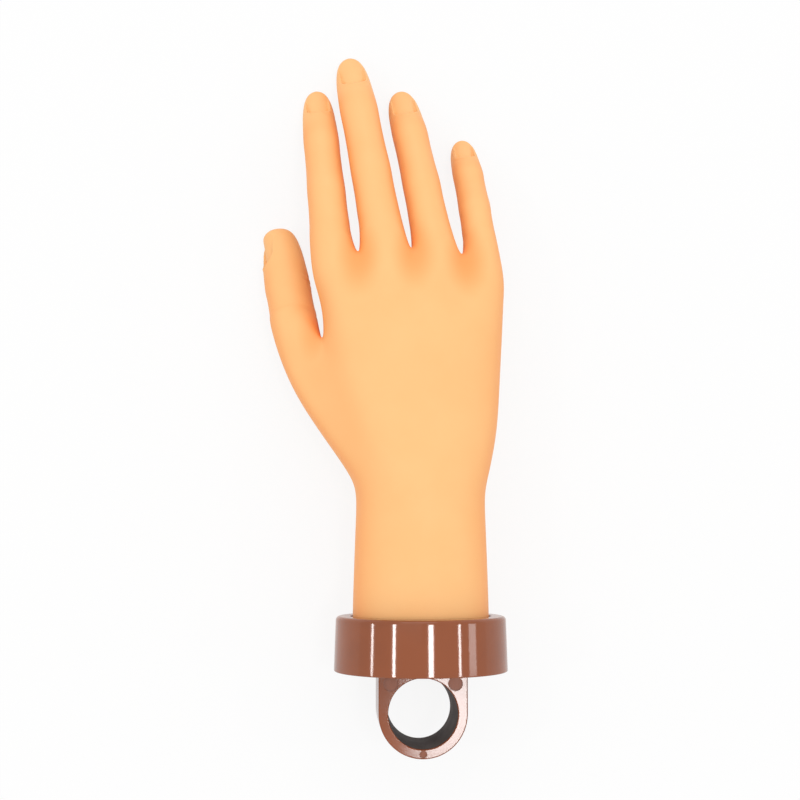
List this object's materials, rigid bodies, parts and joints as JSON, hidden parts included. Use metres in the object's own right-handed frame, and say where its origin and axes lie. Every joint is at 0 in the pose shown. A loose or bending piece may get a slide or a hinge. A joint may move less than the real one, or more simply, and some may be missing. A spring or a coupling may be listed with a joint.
{
  "type": "nail art practice hand",
  "caption": "Soft right practice hand for nail art, with jointed fingers and sunken nail seats, standing out of a round glossy base with a clamp eye.",
  "frame": {"origin": "on the table, under the middle of the bounding box, with the hand lying palm down on the edge of its base and its fingertips", "axes": "+Y runs from the base to the fingertips, +Z from the palm to the back of the hand, and +X towards the little finger"},
  "size_m": [0.098, 0.2844, 0.0676],
  "materials": {
    "skin": "soft satin skin tone",
    "base": "moulded brown, high gloss",
    "frame": "moulded, plain",
    "steel": "plain"
  },
  "bodies": {
    "root": {"palm_skin": "skin", "palm_frame": "frame", "wrist_plug": "frame", "stem_screw": "steel", "base_cup": "base", "eye_cover": "base", "base_screw_1": "steel", "base_screw_2": "steel", "base_screw_3": "steel", "base_screw_4": "steel", "index_proximal_pin": "steel", "middle_proximal_pin": "steel", "ring_proximal_pin": "steel", "little_proximal_pin": "steel", "thumb_proximal_pin": "steel"},
    "index_proximal": {"index_proximal_skin": "skin", "index_proximal_link": "frame", "index_middle_pin": "steel"},
    "index_middle": {"index_middle_skin": "skin", "index_middle_link": "frame", "index_tip_pin": "steel"},
    "index_tip": {"index_tip_skin": "skin", "index_tip_link": "frame"},
    "middle_proximal": {"middle_proximal_skin": "skin", "middle_proximal_link": "frame", "middle_middle_pin": "steel"},
    "middle_middle": {"middle_middle_skin": "skin", "middle_middle_link": "frame", "middle_tip_pin": "steel"},
    "middle_tip": {"middle_tip_skin": "skin", "middle_tip_link": "frame"},
    "ring_proximal": {"ring_proximal_skin": "skin", "ring_proximal_link": "frame", "ring_middle_pin": "steel"},
    "ring_middle": {"ring_middle_skin": "skin", "ring_middle_link": "frame", "ring_tip_pin": "steel"},
    "ring_tip": {"ring_tip_skin": "skin", "ring_tip_link": "frame"},
    "little_proximal": {"little_proximal_skin": "skin", "little_proximal_link": "frame", "little_middle_pin": "steel"},
    "little_middle": {"little_middle_skin": "skin", "little_middle_link": "frame", "little_tip_pin": "steel"},
    "little_tip": {"little_tip_skin": "skin", "little_tip_link": "frame"},
    "thumb_proximal": {"thumb_proximal_skin": "skin", "thumb_proximal_link": "frame", "thumb_tip_pin": "steel"},
    "thumb_tip": {"thumb_tip_skin": "skin", "thumb_tip_link": "frame"}
  },
  "joints": [
    {"name": "index_proximal_hinge", "type": "hinge", "parent": "root", "child": "index_proximal", "pos_m": [-0.02079, 0.05931, 0.034], "axis": [-0.9959, -0.0906, 0], "range_deg": [0, 45]},
    {"name": "index_middle_hinge", "type": "hinge", "parent": "index_proximal", "child": "index_middle", "pos_m": [-0.02269, 0.08018, 0.02838], "axis": [-0.9959, -0.0906, 0], "range_deg": [0, 50]},
    {"name": "index_tip_hinge", "type": "hinge", "parent": "index_middle", "child": "index_tip", "pos_m": [-0.02476, 0.10284, 0.01801], "axis": [-0.9959, -0.0906, 0], "range_deg": [0, 35]},
    {"name": "middle_proximal_hinge", "type": "hinge", "parent": "root", "child": "middle_proximal", "pos_m": [-0.00079, 0.06331, 0.0359], "axis": [-0.9871, -0.1599, 0], "range_deg": [0, 45]},
    {"name": "middle_middle_hinge", "type": "hinge", "parent": "middle_proximal", "child": "middle_middle", "pos_m": [-0.005, 0.08927, 0.02934], "axis": [-0.9871, -0.1599, 0], "range_deg": [0, 50]},
    {"name": "middle_tip_hinge", "type": "hinge", "parent": "middle_middle", "child": "middle_tip", "pos_m": [-0.0094, 0.11643, 0.01766], "axis": [-0.9871, -0.1599, 0], "range_deg": [0, 35]},
    {"name": "ring_proximal_hinge", "type": "hinge", "parent": "root", "child": "ring_proximal", "pos_m": [0.01911, 0.06231, 0.0342], "axis": [-0.986, -0.1668, 0], "range_deg": [0, 45]},
    {"name": "ring_middle_hinge", "type": "hinge", "parent": "ring_proximal", "child": "ring_middle", "pos_m": [0.01555, 0.08336, 0.02848], "axis": [-0.986, -0.1668, 0], "range_deg": [0, 50]},
    {"name": "ring_tip_hinge", "type": "hinge", "parent": "ring_middle", "child": "ring_tip", "pos_m": [0.01165, 0.10641, 0.01733], "axis": [-0.986, -0.1668, 0], "range_deg": [0, 35]},
    {"name": "little_proximal_hinge", "type": "hinge", "parent": "root", "child": "little_proximal", "pos_m": [0.03911, 0.05961, 0.029], "axis": [-0.9942, -0.108, 0], "range_deg": [0, 45]},
    {"name": "little_middle_hinge", "type": "hinge", "parent": "little_proximal", "child": "little_middle", "pos_m": [0.03746, 0.07474, 0.02405], "axis": [-0.9942, -0.108, 0], "range_deg": [0, 50]},
    {"name": "little_tip_hinge", "type": "hinge", "parent": "little_middle", "child": "little_tip", "pos_m": [0.03576, 0.09041, 0.01495], "axis": [-0.9942, -0.108, 0], "range_deg": [0, 35]},
    {"name": "thumb_proximal_hinge", "type": "hinge", "parent": "root", "child": "thumb_proximal", "pos_m": [-0.03549, 0.02831, 0.0178], "axis": [0.3343, 0.3031, 0.8924], "range_deg": [0, 30]},
    {"name": "thumb_tip_hinge", "type": "hinge", "parent": "thumb_proximal", "child": "thumb_tip", "pos_m": [-0.03816, 0.04314, 0.01376], "axis": [-0.3343, -0.3031, -0.8924], "range_deg": [0, 35]}
  ]
}
